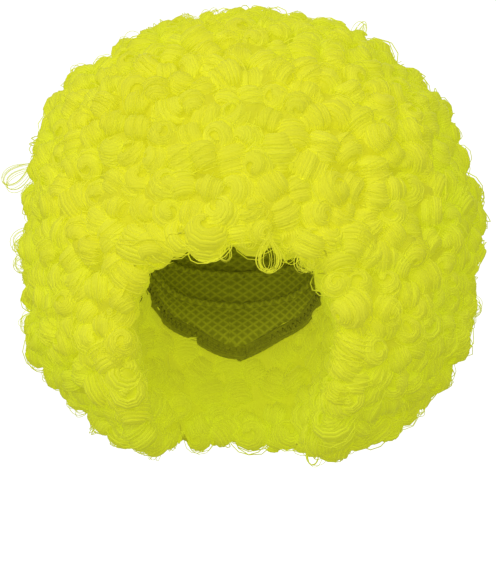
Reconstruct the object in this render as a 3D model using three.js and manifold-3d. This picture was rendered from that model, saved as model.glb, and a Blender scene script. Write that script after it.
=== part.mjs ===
// A curly clown wig, modelled as worn: a stretch cap with an elastic edge, and tiers of ringlets sewn
// round it. Millimetres, +Z up, the face opening looks along -Y. Left and right are the wearer's, so
// left is +X. The origin is the top of the head, on the inside of the cap.
import * as THREE from "three";
import { mergeVertices } from "three/addons/utils/BufferGeometryUtils.js";
import Module from "manifold-3d";

const wasm = await Module();
wasm.setup();

// The head that the cap fits, down to the neck.
const HEAD_WIDTH = 154;
const HEAD_LENGTH = 194;
const CROWN_HEIGHT = 92; // from the widest level up to the crown
const HEAD_DROP = 150; // from the widest level down to the neck

// The cap and its elastic edge.
const CAP_WALL = 1.5;
const CAP_DROP = 150; // from the crown down to the cap's lowest edge, at the nape
const BAND_WIDTH = 12;
const BAND_THICKNESS = 1.8;

// The hair, over the tips of its curls.
const HAIR_WIDTH = 366;
const HAIR_DEPTH = 344;
const HAIR_ABOVE_CROWN = 115;
const HAIR_BELOW_CROWN = 239;
const HAIR_SIDE_SHIFT = 9; // the hair stands fuller on the left
const HAIR_BACK_SHIFT = 11; // and fuller at the back

// Each curl is a rounded lobe that stands out of the furrows round it.
const CURL_STANDOUT = 13;
const CURL_VARIATION = 0.3; // how much less than that a curl may stand out, as a share
const CURL_SWAY = 2.5; // degrees that the rows of curls wander up and down

// The opening for the face, and the lobes of hair that hang into it.
const FACE_WIDTH = 154;
const FACE_CENTRE_DROP = 148;
const FACE_FRONT = 60; // how far in front of the head's middle the opening has its own size
const FACE_FLARE = 0.2; // how much it widens from there to the front of the hair
const FACE_LOBE = 9;
const FACE_LOBES = 16;

const PIECE_GAP = 0.3; // between one piece and the next

// Facets.
const HEAD_SEGMENTS = 24;
const CAP_ROWS = 6;
const NECK_ROWS = 3;
const CURL_COLUMNS = 4;
const CURL_ROWS = 3;
const FACE_COLUMNS = 48;
const FACE_ROWS = 5;
const OUTLINE_STEPS = 96;

// The cap's edge: degrees from the forehead round to the nape, and drop as a share of CAP_DROP.
const CAP_EDGE = [
  { turn: 0, drop: 0.37 },
  { turn: 45, drop: 0.42 },
  { turn: 78, drop: 0.74 },
  { turn: 108, drop: 0.58 },
  { turn: 140, drop: 0.84 },
  { turn: 180, drop: 1 },
];

// The head below its widest level: down as a share of HEAD_DROP, the others as shares of the half sizes.
const HEAD_SECTIONS = [
  { down: 0, width: 1, front: 1, back: 1 },
  { down: 0.25, width: 0.98, front: 0.98, back: 0.95 },
  { down: 0.5, width: 0.89, front: 0.94, back: 0.82 },
  { down: 0.8, width: 0.77, front: 0.86, back: 0.7 },
  { down: 1, width: 0.75, front: 0.84, back: 0.68 },
];

// The outline of the hair from the front: down as a share of its height, out as a share of its half width.
const HAIR_OUTLINE = [
  { down: 0, out: 0 },
  { down: 0.015, out: 0.22 },
  { down: 0.07, out: 0.5 },
  { down: 0.17, out: 0.77 },
  { down: 0.3, out: 0.93 },
  { down: 0.48, out: 1 },
  { down: 0.66, out: 0.98 },
  { down: 0.8, out: 0.89 },
  { down: 0.91, out: 0.72 },
  { down: 0.98, out: 0.5 },
  { down: 1, out: 0.25 },
  { down: 1, out: 0 },
];

// The opening from the front: degrees from straight up, and out from its centre as a share of its
// half width.
const FACE_OUTLINE = [
  { turn: 0, out: 0.95 },
  { turn: 35, out: 1.08 },
  { turn: 62, out: 1 },
  { turn: 121, out: 1 },
  { turn: 150, out: 1.4 },
  { turn: 180, out: 2.08 },
];

// One piece of hair for each row: degrees down from the crown, degrees round from the forehead to the left,
// rows of curls, and curls in a full turn.
const HAIR_SECTIONS = [
  { name: "top_curls", top: 0, bottom: 13, from: 0, to: 360, rows: 1, curls: 6 },
  { name: "crown_curls", top: 13, bottom: 33, from: 0, to: 360, rows: 2, curls: 12 },
  { name: "upper_front_curls", top: 33, bottom: 66, from: -45, to: 45, rows: 3, curls: 24 },
  { name: "upper_left_curls", top: 33, bottom: 66, from: 45, to: 135, rows: 3, curls: 24 },
  { name: "upper_back_curls", top: 33, bottom: 66, from: 135, to: 225, rows: 3, curls: 24 },
  { name: "upper_right_curls", top: 33, bottom: 66, from: 225, to: 315, rows: 3, curls: 24 },
  { name: "fringe_curls", top: 66, bottom: 90, from: -45, to: 45, rows: 2, curls: 24 },
  { name: "temple_left_curls", top: 66, bottom: 90, from: 45, to: 135, rows: 2, curls: 24 },
  { name: "mid_back_curls", top: 66, bottom: 90, from: 135, to: 225, rows: 2, curls: 24 },
  { name: "temple_right_curls", top: 66, bottom: 90, from: 225, to: 315, rows: 2, curls: 24 },
  { name: "ear_left_curls", top: 90, bottom: 114, from: 15, to: 135, rows: 2, curls: 24 },
  { name: "lower_back_curls", top: 90, bottom: 114, from: 135, to: 225, rows: 2, curls: 24 },
  { name: "ear_right_curls", top: 90, bottom: 114, from: 225, to: 345, rows: 2, curls: 24 },
  { name: "jaw_left_curls", top: 114, bottom: 162, from: 0, to: 135, rows: 3, curls: 24 },
  { name: "nape_curls", top: 114, bottom: 162, from: 135, to: 225, rows: 3, curls: 24 },
  { name: "jaw_right_curls", top: 114, bottom: 162, from: 225, to: 360, rows: 3, curls: 24 },
];

const HEAD_CLEARANCE = Math.max(CAP_WALL, BAND_THICKNESS) + PIECE_GAP;
const FULL_TURN = 2 * Math.PI;
const QUARTER_TURN = Math.PI / 2;
const FAR = 2 * Math.max(HAIR_WIDTH, HAIR_DEPTH, HAIR_ABOVE_CROWN + HAIR_BELOW_CROWN);

const radians = THREE.MathUtils.degToRad;

// Reads one column of a table at a place between its rows, easing from row to row.
function readTable(table, placeColumn, column, place) {
  const after = table.findIndex((row) => row[placeColumn] >= place);
  if (after === 0) return table[0][column];
  if (after < 0) return table.at(-1)[column];
  const [low, high] = [table[after - 1], table[after]];
  const share = THREE.MathUtils.smoothstep(place, low[placeColumn], high[placeColumn]);
  return THREE.MathUtils.lerp(low[column], high[column], share);
}

// A repeatable number from 0 to 1 for each seed, so that no two curls are alike.
function vary(seed) {
  const wave = Math.sin(seed * 12.9898 + 4.1414) * 43758.5453;
  return wave - Math.floor(wave);
}

// A solid from a closed surface, whose corners are merged first.
function solidOf(geometry) {
  const bare = geometry.clone();
  bare.deleteAttribute("normal");
  bare.deleteAttribute("uv");
  const merged = mergeVertices(bare, 1e-4);
  return new wasm.Manifold(
    new wasm.Mesh({
      numProp: 3,
      vertProperties: merged.attributes.position.array,
      triVerts: new Uint32Array(merged.index.array),
    }),
  );
}

// The surface of a solid, with its normals.
function geometryOf(solid) {
  const mesh = solid.getMesh();
  const geometry = new THREE.BufferGeometry();
  geometry.setAttribute("position", new THREE.BufferAttribute(mesh.vertProperties, 3));
  geometry.setIndex(new THREE.BufferAttribute(mesh.triVerts, 1));
  geometry.computeVertexNormals();
  return geometry;
}

// A closed surface round the Z axis: a turned profile, whose points place(turn, step) puts where they
// belong.
function turnedForm(steps, segments, place) {
  const profile = Array.from({ length: steps }, (_, step) => new THREE.Vector2(1, step));
  const geometry = new THREE.LatheGeometry(profile, segments);
  const position = geometry.attributes.position;
  for (let segment = 0; segment <= segments; segment++)
    for (let step = 0; step < steps; step++) {
      const point = place((((segments - segment) % segments) / segments) * FULL_TURN, step);
      position.setXYZ(segment * steps + step, point.x, point.y, point.z);
    }
  return geometry;
}

// A point of the head's surface, grown outwards. turn runs from the forehead to the left; fall is an angle
// down from the crown, which past a quarter turn runs straight down the head at the same pace.
function headPoint(turn, fall, grow) {
  const down = Math.max(0, fall - QUARTER_TURN) * CROWN_HEIGHT;
  const dome = Math.min(fall, QUARTER_TURN);
  const share = down / HEAD_DROP;
  const length = Math.cos(turn) > 0 ? "front" : "back";
  const halfWidth = (HEAD_WIDTH / 2) * readTable(HEAD_SECTIONS, "down", "width", share) + grow;
  const halfLength = (HEAD_LENGTH / 2) * readTable(HEAD_SECTIONS, "down", length, share) + grow;
  return new THREE.Vector3(
    Math.sin(turn) * halfWidth * Math.sin(dome),
    -Math.cos(turn) * halfLength * Math.sin(dome),
    Math.cos(dome) * (CROWN_HEIGHT + grow) - CROWN_HEIGHT - down,
  );
}

// The fall at which the cap ends, for a turn round the head.
function edgeFall(turn) {
  const degrees = THREE.MathUtils.radToDeg(turn);
  const fromFront = Math.min(degrees, 360 - degrees);
  const drop = CAP_DROP * readTable(CAP_EDGE, "turn", "drop", fromFront);
  if (drop > CROWN_HEIGHT) return QUARTER_TURN + (drop - CROWN_HEIGHT) / CROWN_HEIGHT;
  return Math.acos(1 - drop / CROWN_HEIGHT);
}

// The falls at which the band starts and ends, for a turn round the head.
function bandFalls(turn) {
  const top = edgeFall(turn) + PIECE_GAP / CROWN_HEIGHT;
  return [top, top + BAND_WIDTH / CROWN_HEIGHT];
}

// The cap: a dome of stretch net, out from the crown to its edge and back inside.
function makeCap() {
  return turnedForm(2 * CAP_ROWS + 2, HEAD_SEGMENTS, (turn, step) => {
    const outside = step <= CAP_ROWS;
    const row = outside ? step : 2 * CAP_ROWS + 1 - step;
    return headPoint(turn, (edgeFall(turn) * row) / CAP_ROWS, outside ? CAP_WALL : 0);
  });
}

// The elastic band, a strip that goes on from the cap's edge all the way round.
function makeBand() {
  const corners = [
    { end: 0, grow: 0 },
    { end: 0, grow: BAND_THICKNESS },
    { end: 1, grow: BAND_THICKNESS },
    { end: 1, grow: 0 },
  ];
  return turnedForm(corners.length + 1, HEAD_SEGMENTS, (turn, step) => {
    const corner = corners[step % corners.length];
    return headPoint(turn, bandFalls(turn)[corner.end], corner.grow);
  });
}

// The room that the head, the cap and the band take, from the crown down past the hair.
function headRoom() {
  const lastFall = QUARTER_TURN + HEAD_DROP / CROWN_HEIGHT;
  const steps = CAP_ROWS + NECK_ROWS + 3;
  return turnedForm(steps, HEAD_SEGMENTS, (turn, step) => {
    if (step <= CAP_ROWS) return headPoint(turn, (edgeFall(turn) * step) / CAP_ROWS, HEAD_CLEARANCE);
    const [, bandEnd] = bandFalls(turn);
    const row = Math.min(step - CAP_ROWS - 1, NECK_ROWS) / NECK_ROWS;
    const point = headPoint(turn, THREE.MathUtils.lerp(bandEnd, lastFall, row), HEAD_CLEARANCE);
    if (step === steps - 2) point.z = -FAR;
    if (step === steps - 1) point.set(0, 0, -FAR);
    return point;
  });
}

// A dome over a square of two places from -1 to 1, at nought on its edges.
function dome(across, along) {
  return Math.sqrt(Math.max(0, (1 - across * across) * (1 - along * along)));
}

// The room in front of the face: it has lobes where hair hangs into it, and widens to the front.
function faceRoom() {
  const length = HAIR_DEPTH;
  const room = turnedForm(FACE_ROWS + 3, FACE_COLUMNS, (turn, step) => {
    const row = THREE.MathUtils.clamp(step - 1, 0, FACE_ROWS);
    const depth = (row / FACE_ROWS) * length;
    if (step === 0 || step === FACE_ROWS + 2) return new THREE.Vector3(0, -depth, -FACE_CENTRE_DROP);
    const degrees = THREE.MathUtils.radToDeg(turn);
    const outline = (FACE_WIDTH / 2) * readTable(FACE_OUTLINE, "turn", "out", Math.min(degrees, 360 - degrees));
    const flare = 1 + (FACE_FLARE * (depth - FACE_FRONT)) / (HAIR_DEPTH / 2 - FACE_FRONT);
    const place = (turn / FULL_TURN) * FACE_LOBES + (row % 2) / 2;
    const curl = Math.floor(place);
    const lobe = FACE_LOBE * dome(2 * (place - curl) - 1, 0) * (0.6 + 0.4 * vary(curl));
    const out = outline * flare - lobe;
    return new THREE.Vector3(Math.sin(turn) * out, -depth, Math.cos(turn) * out - FACE_CENTRE_DROP);
  });
  return solidOf(room);
}

// The furrows between the curls lie on a smooth turned outline, read here as a distance from the middle
// of the head for each fall from the crown.
function makeOutline() {
  const halfWidth = HAIR_WIDTH / 2 - CURL_STANDOUT;
  const top = HAIR_ABOVE_CROWN - CURL_STANDOUT;
  const bottom = CURL_STANDOUT - HAIR_BELOW_CROWN;
  const curve = new THREE.SplineCurve(
    HAIR_OUTLINE.map(
      (row) => new THREE.Vector2(row.out * halfWidth, THREE.MathUtils.lerp(top, bottom, row.down)),
    ),
  );
  return curve.getPoints(OUTLINE_STEPS).map((point) => {
    const up = point.y + CROWN_HEIGHT;
    return { fall: Math.atan2(point.x, up), away: Math.hypot(point.x, up) };
  });
}

const OUTLINE = makeOutline();

// A point of the hair's surface: turn from the forehead to the left, fall from the crown, out from
// the furrows.
function hairPoint(turn, fall, out) {
  const wander = radians(CURL_SWAY) * Math.sin(fall) * Math.sin(2 * fall);
  const sway = fall + wander * Math.sin(5 * turn + 1);
  const swing = turn + wander * Math.sin(3 * fall + 2 * turn);
  const away = readTable(OUTLINE, "fall", "away", sway) + out;
  return new THREE.Vector3(
    Math.sin(swing) * Math.sin(sway) * away + HAIR_SIDE_SHIFT,
    (-Math.cos(swing) * Math.sin(sway) * away * HAIR_DEPTH) / HAIR_WIDTH + HAIR_BACK_SHIFT,
    Math.cos(sway) * away - CROWN_HEIGHT,
  );
}

// How far the hair stands out of the furrows, for a column and a row of a tier's facets.
function standout(section, column, row) {
  if (section.top === 0 && row === 0) return CURL_STANDOUT / 2;
  const tierRow = Math.min(Math.floor(row / CURL_ROWS), section.rows - 1);
  const shift = (tierRow % 2) * (CURL_COLUMNS / 2);
  const place = (column + shift) / CURL_COLUMNS;
  const curl = ((Math.floor(place) % section.curls) + section.curls) % section.curls;
  const size = 1 - CURL_VARIATION * vary(section.top * 7 + tierRow * 41 + curl);
  const across = 2 * (place - Math.floor(place)) - 1;
  const along = (2 * (row - tierRow * CURL_ROWS)) / CURL_ROWS - 1;
  return CURL_STANDOUT * size * dome(across, along);
}

// A section of the hair: a lobed outside, closed by walls that run to the middle of the head.
function sectionForm(section) {
  const rows = section.rows * CURL_ROWS;
  const columnTurn = FULL_TURN / (section.curls * CURL_COLUMNS);
  const first = Math.round(radians(section.from) / columnTurn);
  const last = Math.round(radians(section.to) / columnTurn);
  const whole = last - first === section.curls * CURL_COLUMNS;
  const inset = PIECE_GAP / HEAD_WIDTH;
  const side = whole ? 0 : inset / Math.sin(radians(section.top));
  const top = radians(section.top) + (section.top > 0 ? inset : 0);
  const bottom = radians(section.bottom) - inset;

  const [start, end] = [first * columnTurn + side, last * columnTurn - side];
  const positions = [];
  for (let column = first; column <= last; column++)
    for (let row = 0; row <= rows; row++) {
      const turn = THREE.MathUtils.clamp(column * columnTurn, start, end);
      const fall = THREE.MathUtils.lerp(top, bottom, row / rows);
      positions.push(...hairPoint(whole ? turn % FULL_TURN : turn, fall, standout(section, column, row)));
    }
  const middle = positions.length / 3;
  positions.push(HAIR_SIDE_SHIFT, HAIR_BACK_SHIFT, -CROWN_HEIGHT);

  const index = [];
  const at = (column, row) => column * (rows + 1) + row;
  const columns = last - first;
  for (let column = 0; column < columns; column++) {
    for (let row = 0; row < rows; row++) {
      const [a, d] = [at(column, row), at(column, row + 1)];
      const [b, c] = [at(column + 1, row), at(column + 1, row + 1)];
      if (section.top > 0 || row > 0) index.push(a, d, b);
      index.push(b, d, c);
    }
    if (section.top > 0) index.push(at(column, 0), at(column + 1, 0), middle);
    index.push(at(column + 1, rows), at(column, rows), middle);
  }
  for (let row = 0; row < rows && !whole; row++)
    index.push(at(0, row + 1), at(0, row), middle, at(columns, row), at(columns, row + 1), middle);

  const geometry = new THREE.BufferGeometry();
  geometry.setAttribute("position", new THREE.Float32BufferAttribute(positions, 3));
  geometry.setIndex(index);
  return geometry;
}

// All the hair: each section, cut clear of the head with its cap and band, and of the face.
function makeHair() {
  const rooms = solidOf(headRoom()).add(faceRoom());
  return HAIR_SECTIONS.map((section) => ({
    name: section.name,
    solid: solidOf(sectionForm(section)).subtract(rooms),
  }));
}

const CAP_MATERIAL = new THREE.MeshStandardMaterial({ color: 0xd2d43a, roughness: 0.85, metalness: 0 });
const BAND_MATERIAL = new THREE.MeshStandardMaterial({ color: 0xc3c62e, roughness: 0.7, metalness: 0 });
const HAIR_MATERIAL = new THREE.MeshStandardMaterial({ color: 0xdfe42a, roughness: 0.55, metalness: 0 });

function addPiece(group, name, geometry, material) {
  const mesh = new THREE.Mesh(geometry, material);
  mesh.name = name;
  group.add(mesh);
}

const wig = new THREE.Group();
addPiece(wig, "cap", geometryOf(solidOf(makeCap())), CAP_MATERIAL);
addPiece(wig, "elastic_band", geometryOf(solidOf(makeBand())), BAND_MATERIAL);
for (const { name, solid } of makeHair()) addPiece(wig, name, geometryOf(solid), HAIR_MATERIAL);

export default wig;
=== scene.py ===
"""A curly clown wig in neon yellow, dressed over its construction model.

Each section of hair is a fleece under tens of ringlets, and a ringlet is strands of fibre wound side by side
round a core, with a few loose ones over them. The cap has its net and its sewn rows of weft, and its edge is
ribbed elastic. Metres, +Z up, the face opening looks along -Y. The origin is the top of the head, in the cap.
"""

import logging
import math
from collections.abc import Callable
from dataclasses import dataclass, field
from enum import Enum

import bpy
import numpy as np
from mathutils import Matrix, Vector
from mathutils.bvhtree import BVHTree
from mathutils.kdtree import KDTree


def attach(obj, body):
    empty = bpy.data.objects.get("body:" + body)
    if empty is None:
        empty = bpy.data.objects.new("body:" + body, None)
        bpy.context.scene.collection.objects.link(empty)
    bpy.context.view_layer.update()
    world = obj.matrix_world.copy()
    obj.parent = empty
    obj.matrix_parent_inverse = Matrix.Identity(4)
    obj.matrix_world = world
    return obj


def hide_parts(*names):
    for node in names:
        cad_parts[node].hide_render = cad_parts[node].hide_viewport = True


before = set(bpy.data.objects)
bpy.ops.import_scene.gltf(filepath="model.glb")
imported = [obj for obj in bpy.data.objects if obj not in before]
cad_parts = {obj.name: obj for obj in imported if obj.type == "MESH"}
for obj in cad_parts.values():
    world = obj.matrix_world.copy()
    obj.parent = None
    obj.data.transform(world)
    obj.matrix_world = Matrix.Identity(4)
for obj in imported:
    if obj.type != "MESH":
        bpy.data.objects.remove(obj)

LOG = logging.getLogger("clown_wig")
MM = 0.001
TURN = 6.28
FACE_HEIGHT = -0.148
HAIR_MIDDLE = np.array((0.009, 0.011, -0.062))
HAIR_HALF_SIZE = np.array((0.183, 0.172, 0.177))

# How much fuller the hair stands, in mm, for degrees from straight up to the wearer's left.
FULLNESS = (
    (-180, 4), (-152, 5), (-140, -2), (-127, 0), (-118, 10), (-109, -8), (-100, -2), (-90, -4), (-78, -7),
    (-60, 3), (-47, 9), (-35, 3), (-25, 8), (-12, 3), (0, 3), (10, 5), (25, 9), (33, 9), (45, 3), (58, 6),
    (70, 0), (85, 10), (98, 0), (109, 3), (120, 6), (128, -1), (138, 3), (146, 5), (152, 4), (180, 4),
)

# How wide the face opening is between the curls, in mm: a height, and how far it goes there to the wearer's
# right and left.
OPENING = (
    (-225, 56, 56), (-190, 65, 65), (-155, 73, 73), (-132, 76, 76), (-111, 73, 74), (-97, 67, 64),
    (-88, 62, 0), (-82, 55, 0), (-77, 0, 0),
)

# What hangs in from the sides of the opening lies before this depth and this far from its middle, in mm.
OPENING_DEPTH = -40
OPENING_MIDDLE = 35

# Curls with a place of their own: the middle in mm, the size as a share, how many strands hang open, and the
# way that their ends run, in degrees from straight up to the wearer's left.
SINGLE_CURLS = (
    (-20, -142, -66, 1.5, 0, 0),
    (84, -129, -117, 1.3, 0, 0),
    (-60, -130, -72, 1.0, 0, 0),
    (25, -148, -83, 0.95, 14, 0),
    (9, -148, -70, 0.6, 7, 0),
    (50, -144, -85, 0.7, 9, 0),
    (-6, -149, -79, 0.55, 6, 0),
    (-169, 4, -18, 0.95, 9, 55),
    (-161, 6, -68, 1.1, 8, 60),
    (-161, 6, -84, 0.9, 7, 80),
    (181, 6, -117, 0.8, 9, -80),
    (148, -40, -168, 0.8, 9, -40),
)

Array = np.ndarray
Range = tuple[float, float]
Colour = tuple[float, float, float]
Socket = bpy.types.NodeSocket
Inputs = dict[str | int, object]


class Layer(Enum):
    """How deep in the hair a surface lies. The value is the shade that its vertices carry, which colours the
    deeper layers darker as painted shade.
    """

    FLEECE = 0.12
    CORE = 0.36
    VALLEY = 0.7
    RIDGE = 0.85
    STRAND = 1.0


@dataclass
class Batch:
    """Many small closed meshes, joined as arrays of corners and faces with what each corner carries."""

    points: list[Array] = field(default_factory=list)
    faces: list[Array] = field(default_factory=list)
    lines: list[Array] = field(default_factory=list)
    shades: list[Array] = field(default_factory=list)
    tones: list[Array] = field(default_factory=list)
    count: int = 0

    def add(self, points: Array, faces: Array, lines: Array, shades: Array, tone: float) -> None:
        """Adds one mesh.

        Args:
            points: Corner places, one row each.
            faces: Triangles, as rows of three corner numbers.
            lines: Two numbers for each corner, along the fibres and across them.
            shades: One number for each corner, from deep to outermost, which sets how dark its painted shade
                is.
            tone: The chance colour of this mesh, from 0 to 1.
        """
        self.points.append(points)
        self.faces.append(faces + self.count)
        self.lines.append(lines)
        self.shades.append(shades)
        self.tones.append(np.full(len(points), tone))
        self.count += len(points)

    def extend(
        self,
        other: "Batch",
        tone: float = 0.0,
        place: Callable[[Array], Array] | None = None,
        light: float = 1.0,
    ) -> None:
        """Adds a copy of every mesh of another batch.

        Args:
            other: The batch to copy.
            tone: The chance colour that the copy gets.
            place: Moves corner places to where the copy stands, if it moves.
            light: The share of its shade that the copy keeps; less makes it darker, as painted shade.
        """
        points = np.concatenate(other.points)
        self.add(
            place(points) if place else points,
            np.concatenate(other.faces),
            np.concatenate(other.lines),
            np.concatenate(other.shades) * light,
            tone,
        )

    def build(self, name: str) -> bpy.types.Object:
        """Makes the batch a Blender object.

        Args:
            name: The object's name.

        Returns:
            The new object, in the scene.
        """
        mesh = bpy.data.meshes.new(name)
        points = np.concatenate(self.points).astype(np.float32)
        faces = np.concatenate(self.faces).astype(np.int32)
        mesh.vertices.add(len(points))
        mesh.vertices.foreach_set("co", points.ravel())
        mesh.loops.add(faces.size)
        mesh.loops.foreach_set("vertex_index", faces.ravel())
        mesh.polygons.add(len(faces))
        mesh.polygons.foreach_set("loop_start", np.arange(0, faces.size, 3, dtype=np.int32))
        mesh.update(calc_edges=True)
        mesh.polygons.foreach_set("use_smooth", np.ones(len(faces), dtype=bool))
        uv = mesh.uv_layers.new(name="fibres")
        uv.data.foreach_set("uv", np.concatenate(self.lines)[faces.ravel()].astype(np.float32).ravel())
        for label, values in (("shade", self.shades), ("tone", self.tones)):
            layer = mesh.attributes.new(label, "FLOAT", "POINT")
            layer.data.foreach_set("value", np.concatenate(values).astype(np.float32))
        mesh.update()
        piece = bpy.data.objects.new(name, mesh)
        bpy.context.collection.objects.link(piece)
        return piece


def swept_band(path: Array, normals: Array, section: Array, sizes: Array, shades: Array) -> Batch:
    """Sweeps a closed section along a path, and closes both ends.

    Args:
        path: The places that the band runs through.
        normals: The way out at each place.
        section: The section's corners, as rows of across and out.
        sizes: How large the section is at each place, as a share.
        shades: The shade of each corner of the section.

    Returns:
        A batch that holds the band.
    """
    tangents = np.gradient(path, axis=0)
    tangents /= np.linalg.norm(tangents, axis=1, keepdims=True)
    normals = normals - tangents * np.sum(normals * tangents, axis=1, keepdims=True)
    normals /= np.linalg.norm(normals, axis=1, keepdims=True)
    across = np.cross(tangents, normals)
    steps, corners = len(path), len(section)
    ring = sizes[:, None, None] * (
        section[None, :, 0, None] * across[:, None, :] + section[None, :, 1, None] * normals[:, None, :]
    )
    rings = path[:, None, :] + ring
    points = np.concatenate([rings.reshape(-1, 3), rings[[0, -1]].mean(axis=1)])
    row, col = np.meshgrid(np.arange(steps - 1), np.arange(corners), indexing="ij")
    a = (row * corners + col).ravel()
    b = (row * corners + (col + 1) % corners).ravel()
    sides = np.concatenate([np.stack([a, b, a + corners], 1), np.stack([b, b + corners, a + corners], 1)])
    rim = np.arange(corners)
    after = (rim + 1) % corners
    first, last = steps * corners, steps * corners + 1
    lid = (steps - 1) * corners
    start = np.stack([np.full(corners, first), after, rim], 1)
    end = np.stack([np.full(corners, last), lid + rim, lid + after], 1)
    run = np.concatenate([[0], np.cumsum(np.linalg.norm(np.diff(path, axis=0), axis=1))])
    girth = np.cumsum(np.linalg.norm(np.roll(section, -1, 0) - section, axis=1))
    lines = np.stack([np.repeat(run, corners), np.tile(girth, steps)], 1)
    lines = np.concatenate([lines, [[run[0], 0], [run[-1], 0]]])
    shade = np.concatenate([np.tile(shades, steps), [shades[0], shades[0]]])
    batch = Batch()
    batch.add(points, np.concatenate([sides, start, end]), lines, shade, 0.0)
    return batch


# The corners of a strand's section, across and out, as shares of its thickness, and how it thins to its ends.
LOOSE_STRAND = np.array(((0.0, 0.5), (0.5, -0.4), (-0.5, -0.4)))
FLAT_STRAND = np.array(((0.38, 0.22), (0.68, -0.33), (-0.68, -0.33), (-0.38, 0.22)))
END_ANGLE = 0.12
END_SIZE = 0.25
END_SLOPE = 2.2


@dataclass(frozen=True)
class Ringlet:
    """The sizes of a ringlet: strands side by side, wound together from pole to pole of a rounded core."""

    radius: float = 9.2 * MM
    half_length: float = 10.2 * MM
    core_margin: float = 0.3 * MM
    turns: float = 2.6
    turns_share: Range = (0.85, 1.15)
    most_lean: float = 65.0
    lean_power: float = 1.5
    steps_a_turn: int = 10
    pole: float = 1.3
    root: float = -0.3
    fewest_steps: int = 3
    strands: int = 6
    strand_pitch: float = 1.9
    strand_thickness: float = 1.9 * MM
    swell: float = 1.6 * MM
    uneven: float = 0.16
    wave: float = 0.18
    waves: Range = (6, 18)
    shade_spread: float = 0.04
    loose_strands: int = 5
    loose_thickness: float = 0.55 * MM
    loose_start: Range = (-1.1, 0.2)
    loose_length: Range = (0.5, 1.0)
    loose_turns: Range = (1.0, 1.4)
    loose_pitch: float = 2.3
    loose_lift: Range = (2.2, 4.6)
    loose_steps: int = 11
    loop_steps: int = 22
    loop_ends: float = 0.5
    loop_width: Range = (0.45, 1.0)
    loop_height: Range = (0.7, 1.1)
    loop_rise: Range = (0.6, 1.6)
    loop_spread: float = 2.2 * MM
    loop_slant: float = 4.0
    loop_thickness: Range = (0.6, 1.0)

    def winding(self, heights: Array, angles: Array, reach: Array) -> tuple[Array, Array]:
        """Winds a line round the core.

        Args:
            heights: Angles up from the core's waist, which reach a pole at a quarter turn.
            angles: Angles round the core's axis.
            reach: How far outside the core the line runs.

        Returns:
            The line's places and the way out at each.
        """
        flat = np.cos(heights)
        out = np.stack([flat * np.cos(angles), flat * np.sin(angles), np.sin(heights)], 1)
        return out * (np.array((self.radius, self.radius, self.half_length)) + reach[:, None]), out

    def core(self) -> Batch:
        """Gives the rounded core that closes the coil inside, as a small ball of triangles."""
        bpy.ops.mesh.primitive_ico_sphere_add(subdivisions=1, radius=1.0)
        ball = bpy.context.object
        points = np.array([v.co[:] for v in ball.data.vertices])
        faces = np.array([p.vertices[:] for p in ball.data.polygons])
        bpy.data.objects.remove(ball, do_unlink=True)
        batch = Batch()
        shades = np.full(len(points), Layer.CORE.value)
        batch.add(points * (self.radius + self.core_margin), faces, points[:, :2] * self.radius, shades, 0.0)
        return batch

    def open_loops(self, strands: int, chance: np.random.Generator) -> Batch:
        """Makes a curl of loose strands alone. Each hangs as a loop whose ends run back up its Z axis.

        Args:
            strands: How many there are.
            chance: The source of their small differences.

        Returns:
            The strands.
        """
        curl = Batch()
        for _ in range(strands):
            angles = np.linspace(-self.loop_ends, 2 * math.pi + self.loop_ends, self.loop_steps)
            wide = self.radius * chance.uniform(*self.loop_width)
            high = self.radius * chance.uniform(*self.loop_height)
            rise = self.radius * chance.uniform(*self.loop_rise) * np.abs(angles / math.pi - 1) ** 5
            shift, depth = chance.normal(0, self.loop_spread, 2)
            run = np.linspace(-1, 1, self.loop_steps) * chance.normal(0, self.loop_slant) * MM + depth
            path = np.stack([np.sin(angles) * wide + shift, run, np.cos(angles) * high + rise], 1)
            out = np.stack([np.sin(angles), 0 * angles, np.cos(angles)], 1)
            thickness = self.loose_thickness * chance.uniform(*self.loop_thickness)
            curl.extend(thin_strand(path, out, thickness, Layer.STRAND.value))
        return curl

    def make(self, chance: np.random.Generator) -> Batch:
        """Makes one ringlet. Its outer side is up its own Z axis, and its coil leans from there.

        Args:
            chance: The source of its small differences.

        Returns:
            The ringlet's meshes.
        """
        turns = self.turns * chance.uniform(*self.turns_share) * chance.choice((-1, 1))
        places = np.linspace(0, 1, int(abs(turns) * self.steps_a_turn))
        phase = chance.uniform(0, TURN)
        lean = math.radians(90 - self.most_lean * chance.uniform() ** self.lean_power)
        along, aside = math.cos(lean), math.sin(lean)
        leaning = np.array(((1, 0, 0), (0, along, aside), (0, -aside, along)))
        valley, ridge = Layer.VALLEY.value, Layer.RIDGE.value
        ringlet = self.core()
        for number in range(self.strands):
            side = (number + 0.5) / self.strands - 0.5
            bulge = 1 - (2 * side) ** 2
            heights = self.pole * (2 * places - 1 + self.strand_pitch * side / abs(turns))
            wave = np.sin(places * chance.uniform(*self.waves) + chance.uniform(0, TURN))
            reach = self.swell * bulge + (chance.normal(0, self.uneven) + self.wave * wave) * MM
            path, out = self.winding(np.clip(heights, -1.5, 1.5), phase + turns * TURN * places, reach)
            # Strands at the bundle's edges get a lower shade than its middle, as painted shade in the
            # grooves, with a little tone at chance.
            depth = valley + (ridge - valley) * bulge + chance.normal(0, self.shade_spread)
            self.outer_arcs(ringlet, path @ leaning, out @ leaning, depth)
        for _ in range(self.loose_strands):
            start = chance.uniform(*self.loose_start)
            heights = np.linspace(start, start + chance.uniform(*self.loose_length), self.loose_steps)
            around = chance.uniform(0, TURN)
            angles = around + self.turns * chance.uniform(*self.loose_turns) * self.loose_pitch * heights
            rise = np.sin(np.linspace(0.4, 2.74, self.loose_steps))
            path, out = self.winding(heights, angles, chance.uniform(*self.loose_lift) * rise * MM)
            self.outer_arcs(ringlet, path @ leaning, out @ leaning, Layer.STRAND.value, self.loose_thickness)
        return ringlet

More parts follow.
